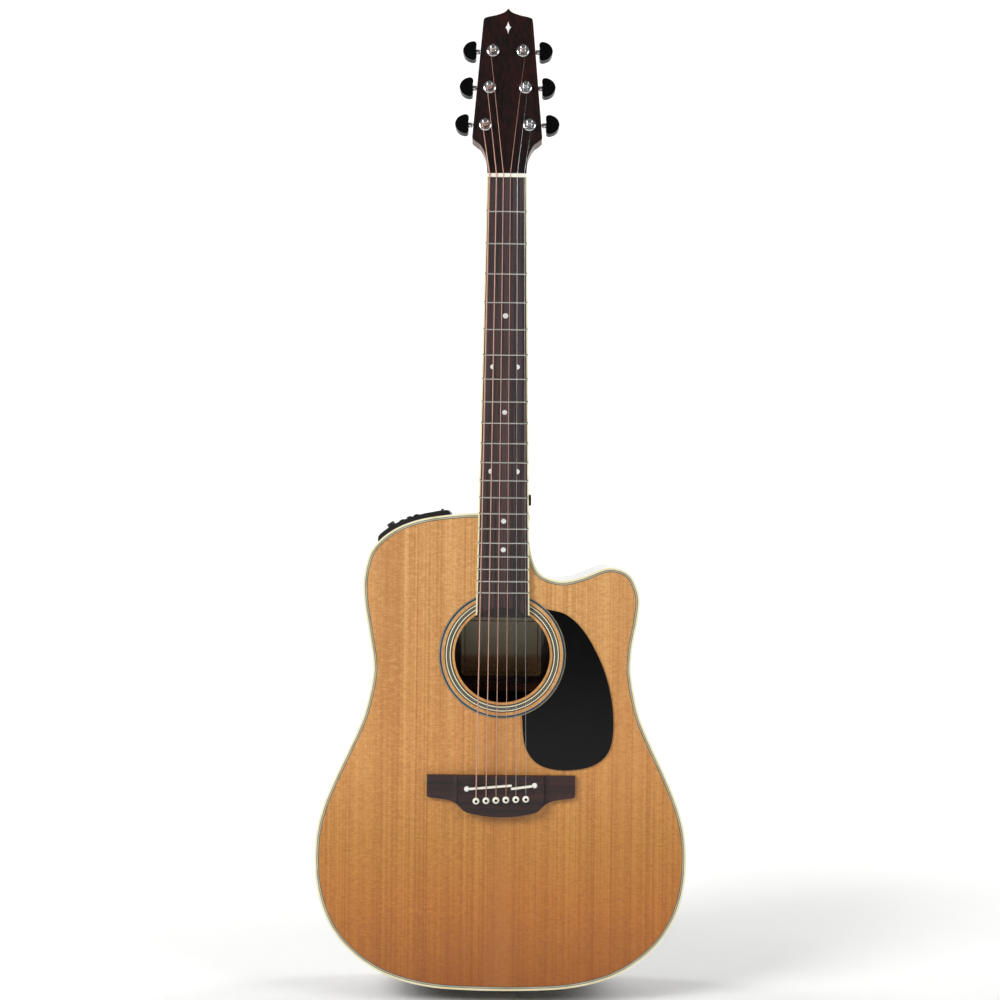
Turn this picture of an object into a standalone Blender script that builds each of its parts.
"""A steel-string acoustic guitar with a rounded cutaway and a pickup preamp, as separate pieces.

Metres, +Z up. The guitar stands upright: X runs to the treble side, -Y is the front, +Z runs up the neck.
The origin is the centre of the tail strap button's end face.
Run it with: blender --background --python part.py
"""

import math

import bmesh
import bpy
from mathutils import Matrix, Vector

MM = 0.001
GAP = 0.3 * MM  # left between pieces that touch

# Driving dimensions.
SCALE_LENGTH = 644 * MM
FRET_COUNT = 20
BODY_JOINT_FRET = 14
BODY_LENGTH = 508.6 * MM
TAIL_DEPTH = 120 * MM
SHOULDER_DEPTH = 100 * MM
PLATE_THICKNESS = 2.8 * MM
SIDE_THICKNESS = 2.3 * MM
BINDING_WIDTH = 2.2 * MM
BINDING_HEIGHT = 6 * MM
STRAP_BUTTON_LENGTH = 14 * MM
SOUNDHOLE_RADIUS = 50.8 * MM
ROSETTE_INNER_RADIUS = 53.6 * MM
ROSETTE_OUTER_RADIUS = 67.6 * MM
NUT_WIDTH = 42.5 * MM
NUT_THICKNESS = 4.6 * MM
BOARD_END_WIDTH = 56.8 * MM
BOARD_THICKNESS = 6 * MM
BOARD_RADIUS = 305 * MM
NECK_DEPTH_NUT = 15.5 * MM  # below the fingerboard
NECK_DEPTH_HEEL = 18 * MM
HEAD_ANGLE = math.radians(13)
HEAD_THICKNESS = 13 * MM
VENEER_THICKNESS = 1.8 * MM
STRING_SPREAD_NUT = 36.9 * MM
STRING_SPREAD_SADDLE = 52.6 * MM
STRING_DIAMETERS = [d * MM for d in (1.35, 1.07, 0.81, 0.61, 0.41, 0.32)]
GEAR_TEETH = 15

# Places that follow from them.
FACE_Y = -TAIL_DEPTH / 2
TAIL_Z = STRAP_BUTTON_LENGTH
SHOULDER_Z = TAIL_Z + BODY_LENGTH


def fret_distance(number):
    """From the nut's front face to a fret."""
    return SCALE_LENGTH * (1 - 2 ** (-number / 12))


NUT_Z = SHOULDER_Z + fret_distance(BODY_JOINT_FRET)
NUT_BACK_Z = NUT_Z + NUT_THICKNESS
SOUNDHOLE_Z = TAIL_Z + 357.9 * MM
BRIDGE_Z = TAIL_Z + 206 * MM  # the wings' rear edge
BOARD_BACK_Y = FACE_Y - GAP
BOARD_FRONT_Y = BOARD_BACK_Y - BOARD_THICKNESS

parts = bpy.data.collections.new("acoustic_guitar")
cutters = bpy.data.collections.new("cutters")


# ---------------------------------------------------------------- helpers


def material(name, color, roughness, metallic=0.0):
    made = bpy.data.materials.new(name)
    made.use_nodes = True
    shader = made.node_tree.nodes["Principled BSDF"]
    shader.inputs["Base Color"].default_value = (*color, 1)
    shader.inputs["Roughness"].default_value = roughness
    shader.inputs["Metallic"].default_value = metallic
    return made


def link(name, data, mat=None, matrix=None):
    """A named object of the guitar."""
    obj = bpy.data.objects.new(name, data)
    parts.objects.link(obj)
    if mat:
        obj.data.materials.append(mat)
    if matrix:
        obj.matrix_world = matrix
    return obj


def mesh_of(bm, name="mesh"):
    bmesh.ops.recalc_face_normals(bm, faces=bm.faces)
    mesh = bpy.data.meshes.new(name)
    bm.to_mesh(mesh)
    bm.free()
    return mesh


def finished(obj):
    """The object with its modifiers applied, as a welded mesh with its place in the mesh."""
    bpy.context.view_layer.update()
    graph = bpy.context.evaluated_depsgraph_get()
    mesh = bpy.data.meshes.new_from_object(obj.evaluated_get(graph))
    mesh.transform(obj.matrix_world)
    bm = bmesh.new()
    bm.from_mesh(mesh)
    bmesh.ops.remove_doubles(bm, verts=bm.verts, dist=1e-6)
    bm.to_mesh(mesh)
    bm.free()
    name, mats = obj.name, list(obj.data.materials)
    bpy.data.objects.remove(obj)
    mesh.materials.clear()
    for mat in mats:
        mesh.materials.append(mat)
    return link(name, mesh)


def combine(obj, others, operation="DIFFERENCE"):
    """Cuts the others from obj, or joins them to it."""
    for other in others:
        if other.name in parts.objects:
            parts.objects.unlink(other)
        cutters.objects.link(other)
        modifier = obj.modifiers.new("combine", "BOOLEAN")
        modifier.operation = operation
        modifier.object = other
        modifier.solver = "EXACT"
    made = finished(obj)
    for other in others:
        bpy.data.objects.remove(other)
    return made


def plate(name, outlines, bottom, top, mat=None, matrix=None):
    """A flat plate: outlines are rings of 2D points, filled, from bottom to top along the frame's own Z."""
    curve = bpy.data.curves.new(name, "CURVE")
    curve.dimensions = "2D"
    curve.fill_mode = "BOTH"
    curve.extrude = (top - bottom) / 2
    for ring in outlines:
        spline = curve.splines.new("POLY")
        spline.points.add(len(ring) - 1)
        for point, (x, y) in zip(spline.points, ring):
            point.co = (x, y, 0, 1)
        spline.use_cyclic_u = True
    frame = matrix or Matrix.Identity(4)
    obj = link(name, curve, mat, frame @ Matrix.Translation((0, 0, (top + bottom) / 2)))
    return finished(obj)


def rod(name, radius, bottom, top, matrix, sides=24, tip=None, mat=None):
    """A cylinder or cone along the frame's own Z."""
    bm = bmesh.new()
    bmesh.ops.create_cone(bm, cap_ends=True, segments=sides, radius1=radius,
                          radius2=radius if tip is None else tip, depth=top - bottom)
    bmesh.ops.translate(bm, verts=bm.verts, vec=(0, 0, (top + bottom) / 2))
    return link(name, mesh_of(bm), mat, matrix)


def block(name, low, high, mat=None, matrix=None):
    """A box between two corners of its frame."""
    bm = bmesh.new()
    bmesh.ops.create_cube(bm, size=1)
    low, high = Vector(low), Vector(high)
    for v in bm.verts:
        v.co = [(a + b) / 2 + c * (b - a) for a, b, c in zip(low, high, v.co)]
    return link(name, mesh_of(bm), mat, matrix)


def lathe(name, profile, matrix, steps=24, mat=None):
    """Turns (radius, height) points, listed from the top down, about the frame's own Z."""
    mesh = bpy.data.meshes.new(name)
    verts = [(r, 0, h) for r, h in profile]
    mesh.from_pydata(verts, [(i, i + 1) for i in range(len(verts) - 1)], [])
    obj = link(name, mesh, mat, matrix)
    screw = obj.modifiers.new("turn", "SCREW")
    screw.steps = screw.render_steps = steps
    screw.use_merge_vertices = True
    screw.merge_threshold = 1e-5
    return finished(obj)


def loft(name, rings, mat=None, matrix=None):
    """A solid through closed rings that have the same number of points."""
    bm = bmesh.new()
    rows = [[bm.verts.new(p) for p in ring] for ring in rings]
    for a, b in zip(rows, rows[1:]):
        for i in range(len(a)):
            j = (i + 1) % len(a)
            bm.faces.new((a[i], a[j], b[j], b[i]))
    bm.faces.new(rows[0])
    bm.faces.new(rows[-1])
    return link(name, mesh_of(bm), mat, matrix)


def wire(name, points, radius, mat):
    """A round wire through points."""
    curve = bpy.data.curves.new(name, "CURVE")
    curve.dimensions = "3D"
    curve.bevel_depth = radius
    curve.bevel_resolution = 1
    curve.use_fill_caps = True
    spline = curve.splines.new("POLY")
    spline.points.add(len(points) - 1)
    for point, co in zip(spline.points, points):
        point.co = (*co, 1)
    return link(name, curve, mat)


def soften(obj, width, segments=2, angle=30):
    """Rounds the edges and returns the mesh."""
    bevel = obj.modifiers.new("round", "BEVEL")
    bevel.width = width
    bevel.segments = segments
    bevel.limit_method = "ANGLE"
    bevel.angle_limit = math.radians(angle)
    return finished(obj)


def smooth(knots, per_span):
    """Points on a Catmull-Rom curve through the knots."""
    knots = [Vector(k) for k in knots]
    n = len(knots)
    found = []
    for i in range(n - 1):
        p1, p2 = knots[i], knots[i + 1]
        p0 = knots[i - 1] if i else 2 * p1 - p2
        p3 = knots[i + 2] if i + 2 < n else 2 * p2 - p1
        for k in range(per_span):
            t = k / per_span
            found.append(0.5 * (2 * p1 + (p2 - p0) * t + (2 * p0 - 5 * p1 + 4 * p2 - p3) * t * t
                                + (3 * p1 - 3 * p2 + p3 - p0) * t ** 3))
    return [*found, knots[-1]]


def inset(ring, distance):
    """The ring moved inwards by distance. It runs clockwise, seen from the front."""
    moved = []
    for i, p in enumerate(ring):
        before = (p - ring[i - 1]).normalized()
        after = (ring[(i + 1) % len(ring)] - p).normalized()
        normal = (Vector((before.y, -before.x)) + Vector((after.y, -after.x))).normalized()
        moved.append(p + normal * distance / max(0.4, normal.dot(Vector((before.y, -before.x)))))
    return moved


def circle(radius, count, centre=(0, 0)):
    return [Vector((centre[0] + radius * math.cos(a), centre[1] + radius * math.sin(a)))
            for a in (2 * math.pi * i / count for i in range(count))]


# ---------------------------------------------------------------- frames and outlines

# The front frame's own X and Y are the guitar's X and Z, and its own Z points out of the face.
FRONT = Matrix.Translation((0, FACE_Y, 0)) @ Matrix.Rotation(math.pi / 2, 4, "X")
# The headstock leans back. Its frame starts on the wood's front face, at the nut's back.
HEAD = Matrix.Translation((0, FACE_Y, NUT_BACK_Z)) @ Matrix.Rotation(math.pi / 2 - HEAD_ANGLE, 4, "X")
BACK_TILT = math.atan2(TAIL_DEPTH - SHOULDER_DEPTH, BODY_LENGTH)


def back_y(z):
    """The back's outer face, which rises towards the shoulders."""
    return FACE_Y + TAIL_DEPTH - (z - TAIL_Z) * math.tan(BACK_TILT)


def body_outline():
    """The body's edge, clockwise from the tail seen from the front, as (x, z)."""
    lower = [(0, 0), (-70, 2.8), (-127, 18.5), (-170, 52), (-192, 94), (-198, 140), (-193.5, 181),
             (-180, 219),
             (-161, 260), (-146.5, 294.5), (-137.6, 339)]
    bass = [(-141, 372), (-146.6, 405), (-148.9, 430), (-145, 457), (-135, 475.5), (-115, 491.5),
            (-88, 501.8),
            (-55, 507), (-25, 508.6), (26.5, 508.6)]
    treble = [(27.2, 484), (30.5, 463), (38, 447), (50, 439.5), (66, 437.3), (84, 441.5), (101, 448.4),
              (114, 451.8),
              (127, 449.5), (137, 442.5), (143.5, 429.5), (146.1, 415), (143.5, 392), (139.5, 371)]
    right = [(-x, z) for x, z in reversed(lower[1:])]
    left_run = smooth(lower + bass, 2)
    right_run = smooth([bass[-1], *treble, *right, (0, 0)], 2)
    return [Vector((x * MM, z * MM + TAIL_Z)) for x, z in left_run[:-1] + right_run[:-1]]


OUTLINE = body_outline()


def board_half_width(z):
    share = (NUT_Z - z) / (459 * MM)
    return (NUT_WIDTH + (BOARD_END_WIDTH - NUT_WIDTH) * share) / 2


# ---------------------------------------------------------------- finishes

cedar = material("cedar_top", (0.62, 0.34, 0.13), 0.35)
rosewood = material("rosewood", (0.10, 0.04, 0.025), 0.3)
mahogany = material("mahogany", (0.25, 0.10, 0.05), 0.35)
spruce = material("spruce_bracing", (0.70, 0.52, 0.32), 0.7)
cream = material("cream_binding", (0.85, 0.78, 0.55), 0.3)
black_gloss = material("black_gloss", (0.006, 0.006, 0.007), 0.15)
black_matte = material("black_matte", (0.02, 0.02, 0.022), 0.45)
bone = material("bone_white", (0.88, 0.86, 0.80), 0.35)
chrome = material("chrome", (0.80, 0.80, 0.82), 0.12, 1.0)
nickel = material("nickel", (0.72, 0.72, 0.70), 0.2, 1.0)
bronze = material("bronze_wound", (0.62, 0.38, 0.25), 0.35, 1.0)
steel = material("plain_steel", (0.70, 0.71, 0.73), 0.2, 1.0)
rings = material("rosette_rings", (0.55, 0.45, 0.32), 0.35)


# ---------------------------------------------------------------- body

BRACE_FACE_Y = FACE_Y + PLATE_THICKNESS + GAP


def rod_slot():
    """The truss rod runs under the fingerboard to the soundhole, through the top's edge."""
    return block("rod_slot", (-4.4 * MM, FACE_Y - 2 * MM, SHOULDER_Z - 56 * MM),
                 (4.4 * MM, FACE_Y + 8 * MM, NUT_Z))


def soundboard():
    groove = plate("groove", [circle(ROSETTE_OUTER_RADIUS + GAP, 40, (0, SOUNDHOLE_Z)),
                              circle(ROSETTE_INNER_RADIUS - GAP, 40, (0, SOUNDHOLE_Z))],
                   -1.3 * MM, 1 * MM, matrix=FRONT)
    top = plate("soundboard", [inset(OUTLINE, BINDING_WIDTH + GAP),
                               circle(SOUNDHOLE_RADIUS, 40, (0, SOUNDHOLE_Z))],
                -PLATE_THICKNESS, 0, cedar, FRONT)
    combine(top, [groove, rod_slot(), *pin_holes()])


def rosette():
    plate("rosette", [circle(ROSETTE_OUTER_RADIUS, 40, (0, SOUNDHOLE_Z)),
                      circle(ROSETTE_INNER_RADIUS, 40, (0, SOUNDHOLE_Z))], -1 * MM, 0, rings, FRONT)


def back_frame():
    """Its own Z points into the body from the back's outer face, at the tail."""
    return Matrix.Translation((0, back_y(TAIL_Z), TAIL_Z)) @ Matrix.Rotation(math.pi / 2 + BACK_TILT, 4, "X")


def on_back(ring):
    """A ring on the front, moved to the sloping back's own coordinates."""
    return [Vector((p.x, (p.y - TAIL_Z) / math.cos(BACK_TILT))) for p in ring]


def back_plate():
    plate("back_plate", [on_back(inset(OUTLINE, BINDING_WIDTH + GAP))], 0, PLATE_THICKNESS, rosewood,
          back_frame())


def bindings():
    edge, inner = OUTLINE, inset(OUTLINE, BINDING_WIDTH)
    top = plate("top_binding", [edge, inner], -BINDING_HEIGHT, 0, cream, FRONT)
    combine(top, [rod_slot()])
    plate("back_binding", [on_back(edge), on_back(inner)], 0, BINDING_HEIGHT, cream, back_frame())


def side(name, points, cuts=()):
    """A bent side: an open ribbon along the outline, made solid inwards."""
    front = FACE_Y + BINDING_HEIGHT + GAP
    bm = bmesh.new()
    rows = [(bm.verts.new((p.x, front, p.y)),
             bm.verts.new((p.x, back_y(p.y) - (BINDING_HEIGHT + GAP) / math.cos(BACK_TILT),
                           p.y))) for p in points]
    for (a, b), (c, d) in zip(rows, rows[1:]):
        bm.faces.new((a, c, d, b))
    mesh = bpy.data.meshes.new(name)
    bm.to_mesh(mesh)
    bm.free()
    obj = link(name, mesh, rosewood)
    shell = obj.modifiers.new("thickness", "SOLIDIFY")
    shell.thickness = SIDE_THICKNESS
    shell.offset = -1
    shell.use_even_offset = True
    made = finished(obj)
    return combine(made, cuts) if cuts else made


TENON_HALF = 11 * MM


def sides():
    """The two sides meet at the tail's middle, and stop at the neck's tenon."""
    start = Vector((-GAP / 2, TAIL_Z))
    split = min(range(len(OUTLINE)), key=lambda i: (OUTLINE[i] - Vector((26.5 * MM, SHOULDER_Z))).length)
    stop = Vector((-TENON_HALF - GAP, SHOULDER_Z))
    bass = [start, *[p for p in OUTLINE[1:split] if p.x < stop.x], stop]
    treble = [Vector((TENON_HALF + GAP, SHOULDER_Z)), *OUTLINE[split:], Vector((GAP / 2, TAIL_Z))]
    side("side_bass", bass, [preamp_opening(), jack_hole()])
    side("side_treble", treble, [jack_hole()])


def jack_hole():
    return rod("jack_hole", 6.4 * MM, TAIL_Z - 5 * MM, TAIL_Z + 30 * MM, None, 16)


def inside_front(z):
    """Where pieces glued inside may start and stop, front to back."""
    return BRACE_FACE_Y, back_y(z) - (PLATE_THICKNESS + GAP) / math.cos(BACK_TILT)


def slanted_block(name, half_width, low_z, high_z, mat):
    """A block that fills the body's depth, cut to the back's slope."""
    ring = []
    for z in (low_z, high_z):
        front, back = inside_front(z)
        ring.append([(-half_width, front, z), (half_width, front, z), (half_width, back, z),
                     (-half_width, back, z)])
    return loft(name, ring, mat)


def blocks():
    inner = SIDE_THICKNESS + 1.2 * MM
    neck_block = slanted_block("neck_block", 23 * MM, SHOULDER_Z - 62 * MM, SHOULDER_Z - inner, mahogany)
    mortise = block("mortise", (-TENON_HALF - GAP, FACE_Y, SHOULDER_Z - 20 * MM - GAP),
                    (TENON_HALF + GAP, back_y(SHOULDER_Z) - 20 * MM, SHOULDER_Z + 1 * MM))
    channel = block("channel", (-5 * MM, FACE_Y, SHOULDER_Z - 70 * MM),
                    (5 * MM, BRACE_FACE_Y + 9 * MM, SHOULDER_Z))
    combine(neck_block, [mortise, channel])
    tail_block = slanted_block("tail_block", 38 * MM, TAIL_Z + inner + 0.6 * MM, TAIL_Z + 25 * MM, mahogany)
    combine(tail_block, [jack_hole()])


def x_brace():
    """Two bars, half-lapped where they cross below the soundhole."""
    centre = Vector((0, SOUNDHOLE_Z - 86 * MM))
    bars = []
    for sign in (-1, 1):
        turn = Matrix.Translation((centre.x, centre.y, 0)) @ Matrix.Rotation(sign * math.radians(50), 4, "Z")
        low, high = (-148 * MM, 205 * MM) if sign < 0 else (-205 * MM, 148 * MM)
        bar = [(low, -PLATE_THICKNESS - GAP), (low + 40 * MM, -15 * MM), (high - 40 * MM, -15 * MM),
               (high, -PLATE_THICKNESS - GAP)]
        profiles = [[(x, y, h) for x, h in bar] for y in (-3.5 * MM, 3.5 * MM)]
        bars.append(loft("x_brace" if sign < 0 else "x_bar", profiles, spruce, FRONT @ turn))
    combine(bars[0], [bars[1]], "UNION")


def bridge_plate():
    made = plate("bridge_plate", [[(-42 * MM, TAIL_Z + 188 * MM), (42 * MM, TAIL_Z + 188 * MM),
                                   (28 * MM, TAIL_Z + 222 * MM), (-28 * MM, TAIL_Z + 222 * MM)]],
                 -PLATE_THICKNESS - GAP - 2.4 * MM, -PLATE_THICKNESS - GAP, mahogany, FRONT)
    combine(made, pin_holes())


def half_width_at(z):
    """How far the outline reaches to the bass and treble sides at a height."""
    found = []
    for a, b in zip(OUTLINE, OUTLINE[1:] + OUTLINE[:1]):
        if (a.y - z) * (b.y - z) <= 0 and a.y != b.y:
            found.append(a.x + (b.x - a.x) * (z - a.y) / (b.y - a.y))
    return min(found), max(found)


def back_braces():
    for name, height in (("back_brace_waist", 313.5), ("back_brace_lower", 150)):
        low, high = half_width_at(TAIL_Z + height * MM)
        low, high = low + SIDE_THICKNESS + 3 * MM, high - SIDE_THICKNESS - 3 * MM
        base = PLATE_THICKNESS + GAP
        bar = [(low, base), (low + 30 * MM, base + 14 * MM), (high - 30 * MM, base + 14 * MM), (high, base)]
        centre = height * MM / math.cos(BACK_TILT)
        loft(name, [[(x, centre + y, h) for x, h in bar] for y in (-4 * MM, 4 * MM)], spruce, back_frame())


# ---------------------------------------------------------------- bridge

PIN_PITCH = 10.56 * MM
PIN_SLOPE = math.radians(2.6)
BRIDGE_HEIGHT = 8.6 * MM
WING_HEIGHT = 4 * MM


def pin_place(number):
    """(x, z) of a bridge pin. Number 0 is the low E string's."""
    offset = (number - 2.5) * PIN_PITCH
    return offset, TAIL_Z + 205.2 * MM + offset * math.tan(PIN_SLOPE)


def saddle_z(x, treble):
    """The saddle's centre line, set back further for the heavier strings of each half."""
    low, high = ((10 * MM, 217.2), (34.6 * MM, 220.6)) if treble else ((-35.4 * MM, 216.6), (12 * MM, 220.8))
    return TAIL_Z + (low[1] + (high[1] - low[1]) * (x - low[0]) / (high[0] - low[0])) * MM


def pin_holes():
    return [rod("pin_hole", 2.9 * MM, -14 * MM, 14 * MM, FRONT @ Matrix.Translation((*pin_place(i), 0)), 10)
            for i in range(6)]


def bridge_outline():
    """A straight front edge, short wings, and a belly behind the pins."""
    corner = [(-78.8, 24.2), (-78.8, 2), (-77.6, 0.7), (-72, -0.2), (-64, -1.1), (-56.5, -2.4), (-50, -4.6),
              (-44.5, -8), (-38.7, -13.5), (-30, -16.2), (-16, -18.6)]
    points = corner + [(0, -19.4)] + [(-x, z) for x, z in reversed(corner)]
    return [Vector((x * MM, BRIDGE_Z + z * MM)) for x, z in points]


def bridge():
    base = plate("bridge", [bridge_outline()], GAP, GAP + BRIDGE_HEIGHT, rosewood, FRONT)
    scoops = []
    for sign in (-1, 1):
        arc = [(45.2, 9.5), (46, 6.9), (48, 5), (51, 4.3), (54, 4), (80, 3.6), (80, 12), (45.2, 12)]
        ring = [[(sign * x * MM, z, GAP + h * MM) for x, h in arc] for z in
                (BRIDGE_Z - 30 * MM, BRIDGE_Z + 30 * MM)]
        scoops.append(loft("scoop", ring, None, FRONT))
    slots = []
    for treble in (False, True):
        slots.append(saddle_bar("slot", treble, 0.3, -3, 4))
    combine(base, [*scoops, *slots, *pin_holes()])


def saddle_bar(name, treble, extra, below, above, mat=None):
    """A bar along the saddle's line. below and above are measured from the bridge's top, in millimetres."""
    low, high = (10.5, 33) if treble else (-33.6, 11.6)
    a = Vector((low * MM, saddle_z(low * MM, treble)))
    b = Vector((high * MM, saddle_z(high * MM, treble)))
    along = (b - a).normalized()
    across = Vector((-along.y, along.x)) * (1.2 + extra) * MM
    a, b = a - along * extra * MM, b + along * extra * MM
    top = GAP + BRIDGE_HEIGHT
    return plate(name, [[a - across, b - across, b + across, a + across]], top + below * MM,
                 top + above * MM, mat,
                 FRONT)


def saddles():
    """Each half stands in its slot, clear of the slot's floor."""
    for name, treble in (("saddle_bass", False), ("saddle_treble", True)):
        saddle_bar(name, treble, 0, -2.7, 2.6, bone)


def bridge_pins():
    top = GAP + BRIDGE_HEIGHT
    for i in range(6):
        profile = [(0, 3.0), (1.9, 2.7), (3.2, 1.7), (3.7, 0.9), (3.5, 0.3), (2.6, 0.3), (2.3, -21),
                   (1.6, -22.5),
                   (0, -22.5)]
        lathe(f"bridge_pin_{i + 1}", [(r * MM, top + h * MM) for r, h in profile],
              FRONT @ Matrix.Translation((*pin_place(i), 0)), 10, bone)


# ---------------------------------------------------------------- pickguard


def pickguard():
    """A teardrop that starts and ends on the rosette's edge."""
    knots = [(46.0, 407.6), (68.9, 401), (90, 379.5), (109.9, 339), (118.6, 295.8), (115.2, 258.5),
             (96, 240.6),
             (63, 236.2), (37.6, 243.5), (24.8, 262.8), (21.4, 293.8)]
    centre = Vector((0, SOUNDHOLE_Z))
    edge = [Vector((x * MM, z * MM + TAIL_Z)) for x, z in smooth(knots, 4)]
    radius = ROSETTE_OUTER_RADIUS + GAP
    first, last = edge[0] - centre, edge[-1] - centre
    a, b = math.atan2(last.y, last.x), math.atan2(first.y, first.x)
    arc = [centre + radius * Vector((math.cos(t),
                                     math.sin(t))) for t in (a + (b - a) * i / 14 for i in range(15))]
    plate("pickguard", [edge[1:-1] + arc], GAP, GAP + 1.2 * MM, black_gloss, FRONT)


# ---------------------------------------------------------------- neck

HEEL_WIDTH_BACK = 11 * MM


def d_section(half_width, depth, frame, count=9):
    """A ring with a flat front and a round back: half of an oval."""
    ring = []
    for i in range(count):
        a = math.pi * i / (count - 1)
        ring.append(frame @ Vector((half_width * math.cos(a), 0, -depth * math.sin(a) ** 0.85)))
    return ring


def shaft():
    """The neck's handle, which runs on into the headstock."""
    sections = []
    for share in (0, 0.12, 0.3, 0.6, 0.85, 0.95):
        z = SHOULDER_Z + GAP + (NUT_BACK_Z - SHOULDER_Z) * share
        depth = NECK_DEPTH_HEEL + (NECK_DEPTH_NUT - NECK_DEPTH_HEEL) * share
        sections.append(d_section(board_half_width(z), depth, FRONT @ Matrix.Translation((0, z, 0))))
    for t, half, depth, sunk in ((0, 20.8, 15.2, 0), (10, 20.8, 14.2, 0.3), (22, 21.5, 12.4, 0.3)):
        sections.append(d_section(half * MM, depth * MM, HEAD @ Matrix.Translation((0, t * MM, -sunk * MM))))
    return loft("neck", sections, mahogany)


def heel():
    """Stacked D-shaped slices from under the fingerboard to the back, longest at the top."""
    sections = []
    depth_to_cap = back_y(SHOULDER_Z) - FACE_Y
    for depth, half, reach in ((2, 26.2, 60), (14, 26, 58), (20, 24.5, 50), (28, 20.5, 40), (40, 17, 33.5),
                               (60, 14.5, 30), (80, 12.6, 26.5), (None, 11.4, 22)):
        y = FACE_Y + (depth * MM if depth else depth_to_cap)
        ring = []
        for i in range(9):
            a = math.pi * i / 8
            ring.append((half * MM * math.cos(a), y,
                         SHOULDER_Z + GAP + 0.1 * MM + reach * MM * math.sin(a) ** 0.8))
        sections.append(ring)
    return loft("heel", sections)


def head_outline():
    """The headstock: a pointed crest, round shoulders, straight sides to the ears, and a curved waist."""
    crest = [(0, 193.5), (6.2, 187.9), (13.7, 185.2), (22.4, 183.1), (25.8, 181.6), (27, 178.6)]
    ears = [(37.5, 41.6), (37, 39.6)]
    waist = smooth([(37, 39.6), (28.3, 32), (23.3, 21.6), (21.3, 10.6), (20.9, 0.5)], 3)
    right = [Vector(p) for p in crest + ears[:1]] + waist
    left = [Vector((-p.x, p.y)) for p in reversed(right[1:])]
    return [p * MM for p in right + left]


TUNER_ROWS = ((55.7 * MM, 23.6 * MM), (99.4 * MM, 19.3 * MM), (142.6 * MM, 16.2 * MM))


def tuner_places():
    """(name, x, t, side) in string order: the low E's tuner is the lowest on the bass side."""
    bass = [(-x, t, -1) for t, x in TUNER_ROWS]
    treble = [(x, t, 1) for t, x in reversed(TUNER_ROWS)]
    return [(i + 1, x, t, sign) for i, (x, t, sign) in enumerate(bass + treble)]


def post_holes():
    return [rod("post_hole", 5.2 * MM, -20 * MM, 6 * MM, HEAD @ Matrix.Translation((x, t, 0)), 12)
            for _, x, t, _ in tuner_places()]


def neck():
    """Handle, heel, headstock and tenon are one piece of wood, with a channel for the truss rod."""
    wood = shaft()
    head = plate("head", [head_outline()], -HEAD_THICKNESS, 0, None, HEAD)
    tenon = block("tenon", (-TENON_HALF, FACE_Y + BINDING_HEIGHT + 2 * GAP, SHOULDER_Z - 20 * MM),
                  (TENON_HALF, back_y(SHOULDER_Z) - 21 * MM, SHOULDER_Z + 8 * MM))
    wood = combine(wood, [heel(), head, tenon], "UNION")
    channel = block("rod_channel", (-3.3 * MM, FACE_Y - 1 * MM, SHOULDER_Z - 30 * MM),
                    (3.3 * MM, FACE_Y + 10.3 * MM, NUT_Z - 12 * MM))
    combine(wood, [channel, *post_holes()])


def truss_rod():
    """A two-way rod in its channel, with its hex socket reached through the soundhole."""
    frame = Matrix.Translation((0, FACE_Y + 5.2 * MM, 0))
    bar = block("truss_rod", (-2.9 * MM, -4.6 * MM, SHOULDER_Z - 40 * MM),
                (2.9 * MM, 4.6 * MM, NUT_Z - 14 * MM),
                steel, frame)
    nut = rod("rod_nut", 3.6 * MM, SHOULDER_Z - 52 * MM, SHOULDER_Z - 39 * MM, frame, 16)
    socket = rod("socket", 2.4 * MM, SHOULDER_Z - 60 * MM, SHOULDER_Z - 44 * MM, frame, 6)
    return combine(combine(bar, [nut], "UNION"), [socket])


def veneer():
    made = plate("headstock_veneer", [inset(head_outline(), 0.01 * MM)], GAP, GAP + VENEER_THICKNESS,
                 rosewood,
                 HEAD)
    cut = block("square_end", (-40 * MM, -30 * MM, -5 * MM), (40 * MM, 1.2 * MM, 10 * MM), None, HEAD)
    combine(made, [cut, *post_holes()])


def crown(half_width, y_edge, drop, z, count=3):
    """Points across the board's rounded front, from the treble edge to the bass edge."""
    points = []
    for i in range(count):
        x = half_width * (1 - 2 * i / (count - 1))
        rise = math.sqrt(BOARD_RADIUS ** 2 - x * x) - math.sqrt(BOARD_RADIUS ** 2 - half_width ** 2)
        points.append((x, y_edge - rise + drop, z))
    return points


BOARD_EDGE_Y = BOARD_FRONT_Y + 1.2 * MM  # the board is thinner at its edges
FRET_HEIGHT = 1.1 * MM
FRET_SUNK = 0.4 * MM  # into the board
NUT_RISE_FRONT, NUT_RISE_REAR = 1.9 * MM, 0.6 * MM  # over the board's front


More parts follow.
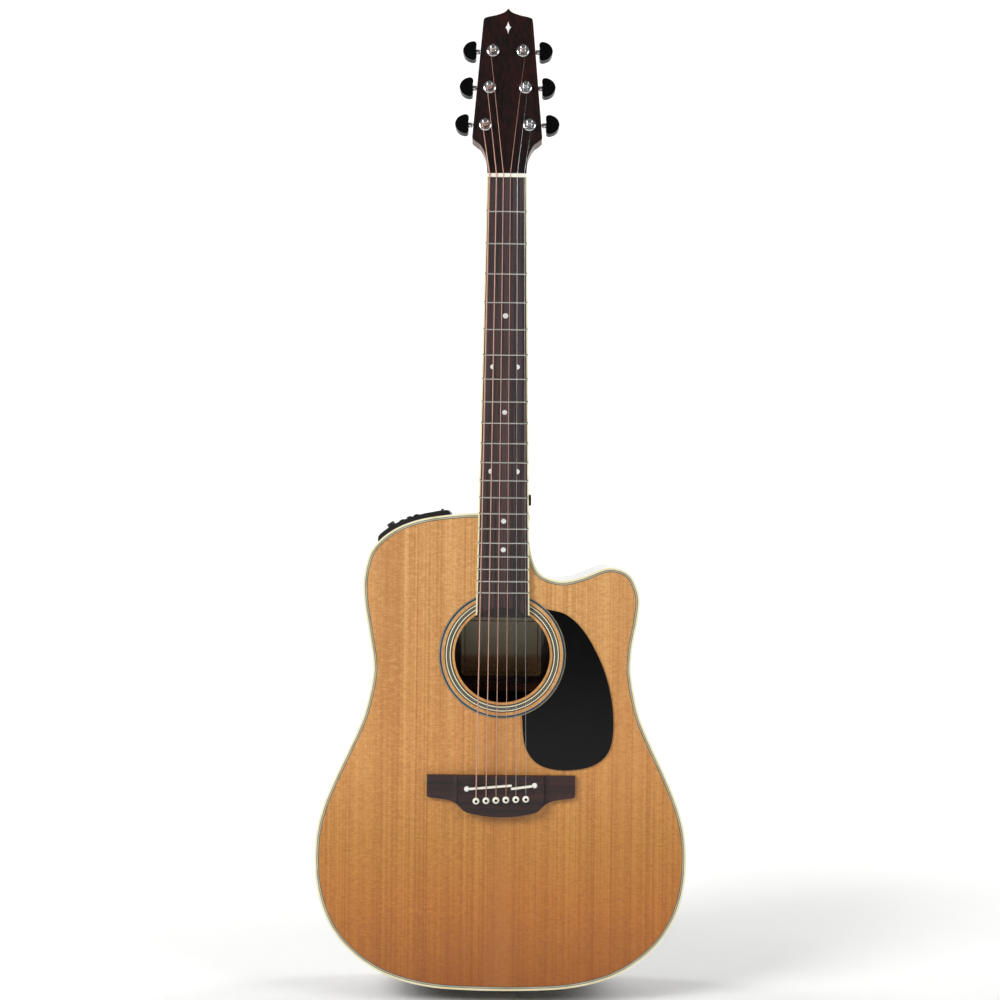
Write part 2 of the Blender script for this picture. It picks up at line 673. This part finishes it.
def fingerboard():
    """The rounded board, cut to the soundhole's arc, with its frets pressed in."""
    ends = []
    for z in (SOUNDHOLE_Z + 40 * MM, NUT_Z - GAP):
        half = board_half_width(z)
        ends.append([(half, BOARD_BACK_Y, z), *crown(half, BOARD_EDGE_Y, 0, z), (-half, BOARD_BACK_Y, z)])
    board = loft("fingerboard", ends, rosewood)
    arc = rod("arc", SOUNDHOLE_RADIUS, -5 * MM, 20 * MM, FRONT @ Matrix.Translation((0, SOUNDHOLE_Z, 0)), 48)
    board = combine(board, [arc])
    bm = bmesh.new()
    for number in range(1, FRET_COUNT + 1):
        z = NUT_Z - fret_distance(number)
        half = board_half_width(z) - 0.4 * MM
        rows = []
        for offset, lift in ((-1.1, FRET_SUNK), (-0.5, -FRET_HEIGHT), (0.5, -FRET_HEIGHT), (1.1, FRET_SUNK)):
            rows.append([bm.verts.new(p) for p in crown(half, BOARD_EDGE_Y, lift, z + offset * MM)])
        for a, b in zip(rows, rows[1:] + rows[:1]):
            for i in range(len(a) - 1):
                bm.faces.new((a[i], a[i + 1], b[i + 1], b[i]))
        bm.faces.new([row[0] for row in rows])
        bm.faces.new([row[-1] for row in rows])
    frets = link("frets", mesh_of(bm))
    combine(board, [frets], "UNION")


def nut():
    """A slim bar across the board's end, with its top sloped towards the headstock."""
    half = NUT_WIDTH / 2 - 0.2 * MM
    ends = []
    for z, rise in ((NUT_Z, NUT_RISE_FRONT), (NUT_BACK_Z - GAP, NUT_RISE_REAR)):
        ends.append([(half, BOARD_BACK_Y, z), *crown(half, BOARD_EDGE_Y - rise, 0, z),
                     (-half, BOARD_BACK_Y, z)])
    loft("nut", ends, bone)


# ---------------------------------------------------------------- tuning machines

# In a tuner's own frame X points outwards, Y up the headstock and Z out of its face. The post is its origin.
AXIS_DEPTH = -(HEAD_THICKNESS + 6.1 * MM)
CENTRE_DISTANCE = 9.4 * MM
WORM_PITCH_RADIUS = 2.7 * MM
GEAR_PITCH_RADIUS = CENTRE_DISTANCE - WORM_PITCH_RADIUS
WORM_PITCH = 2 * math.pi * GEAR_PITCH_RADIUS / GEAR_TEETH
BUTTON_DISTANCE = 25.6 * MM
FACE_TOP = GAP + VENEER_THICKNESS + GAP
POST_TOP = FACE_TOP + 10 * MM


def tuner_housing():
    """The cast housing behind the headstock, with its threaded bushing and front washer screwed into it."""
    back = -HEAD_THICKNESS - GAP
    shell = block("housing", (-9.6 * MM, -9.6 * MM, back - 11.4 * MM), (9.6 * MM, 14.2 * MM, back))
    shell = soften(shell, 2.2 * MM, 1)
    collar = rod("collar", 3.9 * MM, 5 * MM, 13.2 * MM, SHAFT_FRAME, 10)
    bushing = rod("bushing", 4.7 * MM, back - 1 * MM, FACE_TOP + 1 * MM, None, 10)
    washer = rod("washer", 7.1 * MM, FACE_TOP, FACE_TOP + 1.6 * MM, None, 12, tip=6.3 * MM)
    shell = combine(shell, [collar, bushing, washer], "UNION")
    cavity = block("cavity", (-8.3 * MM, -8.3 * MM, back - 10.2 * MM), (8.3 * MM, 13 * MM, back - 1.3 * MM))
    post_bore = rod("post_bore", 3.6 * MM, back - 5 * MM, FACE_TOP + 8 * MM, None, 10)
    shaft_bore = rod("shaft_bore", 2.4 * MM, 6 * MM, 16 * MM, SHAFT_FRAME, 10)
    return combine(shell, [cavity, post_bore, shaft_bore])


SHAFT_FRAME = Matrix.Translation((0, CENTRE_DISTANCE, AXIS_DEPTH)) @ Matrix.Rotation(math.pi / 2, 4, "Y")


def gear_ring(height, twist):
    """One face of the gear: straight-sided teeth, with a tooth towards the worm."""
    ring = []
    tooth = ((5.75, 0.93), (7.45, 0), (5.75, -0.93))
    for i in range(GEAR_TEETH):
        middle = math.pi / 2 + twist - 2 * math.pi * i / GEAR_TEETH
        for radius, half in tooth:
            a = middle + half / radius
            ring.append((radius * MM * math.cos(a), radius * MM * math.sin(a), height))
    return ring


def tuner_post():
    """The string post, waisted for its windings and cross-drilled, with the worm gear at its foot."""
    lead = WORM_PITCH / (2 * math.pi * WORM_PITCH_RADIUS)
    half = 1.9 * MM
    twist = half * lead / GEAR_PITCH_RADIUS
    gear = loft("gear", [gear_ring(AXIS_DEPTH - half, -twist), gear_ring(AXIS_DEPTH + half, twist)])
    waist = [(2.4, 0), (3.1, 0.7), (3.1, 1.9), (2.5, 2.8), (2.5, 6.8), (3.0, 7.8)]
    foot = AXIS_DEPTH - 3.6 * MM
    profile = [(0, POST_TOP), *((r * MM, POST_TOP - drop * MM) for r, drop in waist), (3 * MM, foot),
               (0, foot)]
    post = lathe("post", profile, None, 8)
    hole = rod("hole", 0.9 * MM, -6 * MM, 6 * MM,
               Matrix.Translation((0, 0, POST_TOP - 3.5 * MM)) @ Matrix.Rotation(math.pi / 2, 4, "Y"), 8)
    return combine(combine(post, [gear], "UNION"), [hole])


def worm_thread():
    """A right-handed thread round the shaft. Its turns pass the gear half a pitch each side of the middle."""
    steps, turns = 8, 2.5
    count = int(steps * turns)
    rows = []
    for i in range(count + 1):
        angle = 2 * math.pi * (i / steps - turns / 2)
        along = WORM_PITCH * angle / (2 * math.pi)
        # The shaft frame's own Z is outwards; its angle is counted from up the headstock.
        ring = []
        for radius, half in ((1.4, 1.0), (3.4, 0.3), (3.4, -0.3), (1.4, -1.0)):
            ring.append((radius * MM * math.sin(angle), radius * MM * math.cos(angle), along + half * MM))
        rows.append([(-p[0], p[1], p[2]) for p in ring])
    return loft("thread", rows)


def button_outline():
    """A kidney shape, notched where the shaft enters, in the frame's X and Y."""
    right = [(-7.4, 0), (-6.6, 2.4), (-7.6, 7.5), (-6.2, 10.4), (-3.6, 11.2), (1.5, 9.6), (5.4, 6.0),
             (7.4, 0)]
    half = [Vector(p) for p in right]
    return [p * MM for p in half] + [Vector((p.x, -p.y)) * MM for p in reversed(half[1:-1])]


def tuner_knob():
    """The worm, its shaft and the button pressed on the shaft's end. Z is the shaft's axis, outwards."""
    turned = Matrix.Rotation(math.radians(7), 4, "Z")  # keeps its edges off the button's
    shaft_rod = lathe("knob", [(0, 22 * MM), (1.9 * MM, 22 * MM), (2.0 * MM, 6 * MM), (1.7 * MM, 5.6 * MM),
                               (1.7 * MM, -5.6 * MM), (0, -5.6 * MM)], turned, 8)
    sleeve = lathe("sleeve", [(0, 20.5 * MM), (3.1 * MM, 20.5 * MM), (2.5 * MM, 14 * MM), (0, 14 * MM)],
                   turned, 8)
    frame = Matrix.Translation((0, 0, BUTTON_DISTANCE)) @ Matrix.Rotation(-math.pi / 2, 4, "Y")
    button = plate("button", [button_outline()], -3.9 * MM, 3.9 * MM, None, frame)
    button = soften(button, 1.6 * MM, 1, 60)
    return combine(shaft_rod, [worm_thread(), sleeve, button], "UNION")


def mirrored(mesh):
    """The mesh for the other hand: its X turned round."""
    bm = bmesh.new()
    bm.from_mesh(mesh)
    bmesh.ops.scale(bm, verts=bm.verts, vec=(-1, 1, 1))
    bmesh.ops.reverse_faces(bm, faces=bm.faces)
    made = bpy.data.meshes.new(mesh.name)
    bm.to_mesh(made)
    bm.free()
    return made


def tuners():
    """Six machines, three a side. A moving piece's origin is on its own axis."""
    housing, post, knob = tuner_housing(), tuner_post(), tuner_knob()
    knob.data.transform(SHAFT_FRAME.to_3x3().to_4x4())
    for number, x, t, sign in tuner_places():
        frame = HEAD @ Matrix.Translation((x, t, 0))
        axis = frame @ Matrix.Translation((0, CENTRE_DISTANCE, AXIS_DEPTH))
        for kind, source, place, mat in (("housing", housing, frame, chrome), ("post", post, frame, chrome),
                                         ("knob", knob, axis, black_gloss)):
            mesh = source.data.copy() if sign > 0 else mirrored(source.data)
            mesh.materials.clear()
            link(f"tuner_{kind}_{number}", mesh, mat, place)
    for source in (housing, post, knob):
        bpy.data.objects.remove(source)


# ---------------------------------------------------------------- strings


def string_route(number, x_post, t_post, sign):
    """Bridge pin, saddle, nut, then on to the post's inner side and two turns down it."""
    index = number - 1
    radius = STRING_DIAMETERS[index] / 2
    share = index / 5 - 0.5
    treble = index >= 4
    x_saddle, x_nut = share * STRING_SPREAD_SADDLE, share * STRING_SPREAD_NUT
    pin_x, pin_z = pin_place(index)
    bridge_top = FACE_Y - GAP - BRIDGE_HEIGHT
    saddle_top = bridge_top - 2.6 * MM - GAP - radius - 0.1 * MM
    nut_edge = math.sqrt(BOARD_RADIUS ** 2 - x_nut ** 2) - math.sqrt(BOARD_RADIUS ** 2 - (NUT_WIDTH / 2) ** 2)
    nut_top = BOARD_EDGE_Y - NUT_RISE_FRONT - nut_edge - GAP - radius - 0.1 * MM
    coil = 2.5 * MM + GAP + radius + 0.15 * MM
    start_h = POST_TOP - 3 * MM - radius
    route = [Vector((pin_x, bridge_top - radius - GAP, pin_z + 4.6 * MM)),
             Vector((x_saddle, saddle_top, saddle_z(x_saddle, treble) - 1.2 * MM)),
             Vector((x_saddle, saddle_top, saddle_z(x_saddle, treble) + 1.2 * MM)),
             Vector((x_nut, nut_top, NUT_Z)), Vector((x_nut, nut_top + 0.5 * MM, NUT_BACK_Z - 1 * MM))]
    start = HEAD.inverted() @ route[-1]
    away = Vector((x_post, t_post)) - Vector((start.x, start.y))
    angle = math.atan2(away.y, away.x) + sign * math.acos(coil / away.length) + math.pi
    turns, steps = 2, 8
    pitch = 2 * radius + 0.25 * MM
    for i in range(turns * steps + 1):
        a = angle - sign * 2 * math.pi * i / steps
        height = start_h - pitch * i / steps
        route.append(HEAD @ Vector((x_post + coil * math.cos(a), t_post + coil * math.sin(a), height)))
    return route, radius


def strings():
    for number, x, t, sign in tuner_places():
        route, radius = string_route(number, x, t, sign)
        wire(f"string_{number}", route, radius, bronze if number <= 4 else steel)


# ---------------------------------------------------------------- preamp

PANEL_FRONT_Y = FACE_Y + 20 * MM
PANEL_BACK_Y = FACE_Y + 80 * MM
PANEL_LEFT, PANEL_RIGHT = -134 * MM, -57 * MM


def shoulder_points():
    """The outline over the bass shoulder, from the waist end to the neck end."""
    return [p for p in OUTLINE
            if PANEL_LEFT - 8 * MM < p.x < PANEL_RIGHT + 8 * MM and p.y > TAIL_Z + 470 * MM]


def shoulder_frame(x, lift=0.0):
    """A frame on the side at x: its own X runs towards the neck, Y to the back and Z outwards."""
    points = shoulder_points()
    for a, b in zip(points, points[1:]):
        if a.x <= x <= b.x:
            break
    share = (x - a.x) / (b.x - a.x)
    here = a + (b - a) * share
    along = (b - a).normalized()
    out = Vector((-along.y, along.x))
    here = here + out * lift
    return Matrix(((along.x, 0, out.x, here.x), (0, 1, 0, 0), (along.y, 0, out.y, here.y), (0, 0, 0, 1)))


CENTRE_X = (PANEL_LEFT + PANEL_RIGHT) / 2 - 2 * MM
PANEL_THICKNESS = 5 * MM
PANEL_MIDDLE_Y = (PANEL_FRONT_Y + PANEL_BACK_Y) / 2
KNOB_X, SLIDER_XS, DOOR_X = -119 * MM, (-109 * MM, -101.5 * MM, -94 * MM), -75 * MM
DOOR_HALF = 10.6 * MM
DOOR_LIFT = 3.6 * MM


def preamp_opening():
    """The hole in the bass side that the preamp drops into."""
    low = (-34 * MM, PANEL_FRONT_Y + 2.4 * MM, -30 * MM)
    high = (33.4 * MM, PANEL_BACK_Y - 2.4 * MM, 20 * MM)
    return block("opening", low, high, None, shoulder_frame(CENTRE_X))


def preamp():
    """A curved face plate outside the body, and its box behind, in one moulding."""
    bends = [p.x for p in shoulder_points() if PANEL_LEFT + 2 * MM < p.x < PANEL_RIGHT - 2 * MM]
    inner, outer = [], []
    for x in (PANEL_LEFT, PANEL_LEFT + 1.5 * MM, *bends, PANEL_RIGHT - 1.5 * MM, PANEL_RIGHT):
        end = x in (PANEL_LEFT, PANEL_RIGHT)
        inner.append(shoulder_frame(x, GAP).translation.xz)
        outer.append(shoulder_frame(x, GAP + (1.5 * MM if end else PANEL_THICKNESS)).translation.xz)
    ring = inner + outer[::-1]
    frame = Matrix.Rotation(math.pi / 2, 4, "X")
    face = plate("preamp", [ring], -PANEL_BACK_Y, -PANEL_FRONT_Y, black_matte, frame)
    low = (-33.4 * MM, PANEL_FRONT_Y + 3 * MM, -34 * MM)
    high = (32.8 * MM, PANEL_BACK_Y - 3 * MM, 12 * MM)
    box = block("box", low, high, None, shoulder_frame(CENTRE_X))
    inside = plate("inside", [inset(OUTLINE, -GAP - 1 * MM)], -TAIL_DEPTH, 0, None, FRONT)
    box = combine(box, [inside], "INTERSECT")
    made = combine(face, [box], "UNION")
    door = shoulder_frame(DOOR_X, DOOR_LIFT)
    cuts = [block("recess", (-DOOR_HALF - 0.4 * MM, PANEL_FRONT_Y + 1.6 * MM, -0.4 * MM),
                  (DOOR_HALF + 0.4 * MM, PANEL_BACK_Y - 1.6 * MM, 8 * MM), None, door),
            block("battery_bay", (-9.3 * MM, PANEL_FRONT_Y + 5.2 * MM, -29 * MM),
                  (9.3 * MM, PANEL_BACK_Y - 5.2 * MM, 4 * MM), None, door)]
    for x in SLIDER_XS:
        cuts.append(block("slider_slot", (-1.1 * MM, PANEL_MIDDLE_Y - 11 * MM, -1 * MM),
                          (1.1 * MM, PANEL_MIDDLE_Y + 11 * MM, 9 * MM), None, shoulder_frame(x)))
    cuts.append(rod("knob_hole", 2.4 * MM, -1 * MM, 9 * MM,
                    shoulder_frame(KNOB_X) @ Matrix.Translation((0, PANEL_MIDDLE_Y, 0)), 12))
    combine(made, cuts)


def preamp_controls():
    """A turning volume knob, three tone sliders and the battery door."""
    surface = GAP + PANEL_THICKNESS
    knob_frame = shoulder_frame(KNOB_X) @ Matrix.Translation((0, PANEL_MIDDLE_Y, 0))
    lathe("volume_knob", [(0, surface + 4.2 * MM), (3.7 * MM, surface + 4.2 * MM),
                          (4.2 * MM, surface + 3.6 * MM),
                          (4.4 * MM, surface + 0.4 * MM), (1.9 * MM, surface + 0.4 * MM), (1.9 * MM, 0),
                          (0, 0)],
          knob_frame, 20, black_matte)
    for i, x in enumerate(SLIDER_XS):
        frame = shoulder_frame(x) @ Matrix.Translation((0, PANEL_MIDDLE_Y, 0))
        cap = block("cap", (-2.6 * MM, -2.4 * MM, surface + 0.3 * MM),
                    (2.6 * MM, 2.4 * MM, surface + 1.5 * MM), None,
                    frame)
        stem = block(f"tone_slider_{i + 1}", (-0.7 * MM, -1.6 * MM, 0),
                     (0.7 * MM, 1.6 * MM, surface + 1 * MM),
                     black_matte, frame)
        combine(stem, [cap], "UNION")
    place = shoulder_frame(DOOR_X, DOOR_LIFT)
    low = (-DOOR_HALF, PANEL_FRONT_Y + 2 * MM, 0)
    high = (DOOR_HALF, PANEL_BACK_Y - 2 * MM, 1.9 * MM)
    door = block("battery_door", low, high, black_matte, place)
    lip_low = (DOOR_HALF - 2.4 * MM, PANEL_MIDDLE_Y - 6 * MM, 1 * MM)
    lip_high = (DOOR_HALF, PANEL_MIDDLE_Y + 6 * MM, 3.4 * MM)
    lip = block("lip", lip_low, lip_high, None, place)
    combine(door, [lip], "UNION")


def jack_and_button():
    """The tail's strap button holds the output socket. A plain button is screwed to the heel's treble side."""
    barrel = [(0, 44), (5.4, 44), (5.9, 43), (5.9, -0.5), (8.2, -0.7), (8.2, -2.6), (5.6, -3.2)]
    button = [(5.2, 6), (7.2, 3.6), (7.6, 1), (7, 0), (0, 0)]
    profile = [(r * MM, TAIL_Z + h * MM) for r, h in barrel] + [(r * MM, h * MM) for r, h in button]
    body = lathe("tail_jack", profile, None, 14, nickel)
    combine(body, [rod("socket", 3.3 * MM, -1 * MM, TAIL_Z + 38 * MM, None, 12)])
    frame = Matrix.Translation((0, FACE_Y + 62 * MM, SHOULDER_Z + 14.5 * MM)) @ Matrix.Rotation(math.pi / 2,
                                                                                                4, "Y")
    profile = [(0, 30.4), (5.6, 30.4), (6.4, 29.4), (5.8, 27.2), (3.8, 24.4), (4.0, 18.6), (6, 16.4),
               (6, 15.4), (0, 15.4)]
    lathe("heel_strap_button", [(r * MM, h * MM) for r, h in profile], frame, 16, black_gloss)


# ---------------------------------------------------------------- assembly


def main():
    for obj in list(bpy.data.objects):
        bpy.data.objects.remove(obj)
    for collection in (parts, cutters):
        bpy.context.scene.collection.children.link(collection)
    cutters.hide_render = True
    for build in (soundboard, rosette, back_plate, bindings, sides, blocks, x_brace, bridge_plate,
                  back_braces, bridge,
                  saddles, bridge_pins, pickguard, neck, truss_rod, veneer, fingerboard, nut, tuners,
                  strings, preamp,
                  preamp_controls, jack_and_button):
        build()
    for obj in parts.objects:
        if obj.type == "MESH":
            obj.data.shade_smooth()
            obj.data.set_sharp_from_angle(angle=math.radians(35))


main()
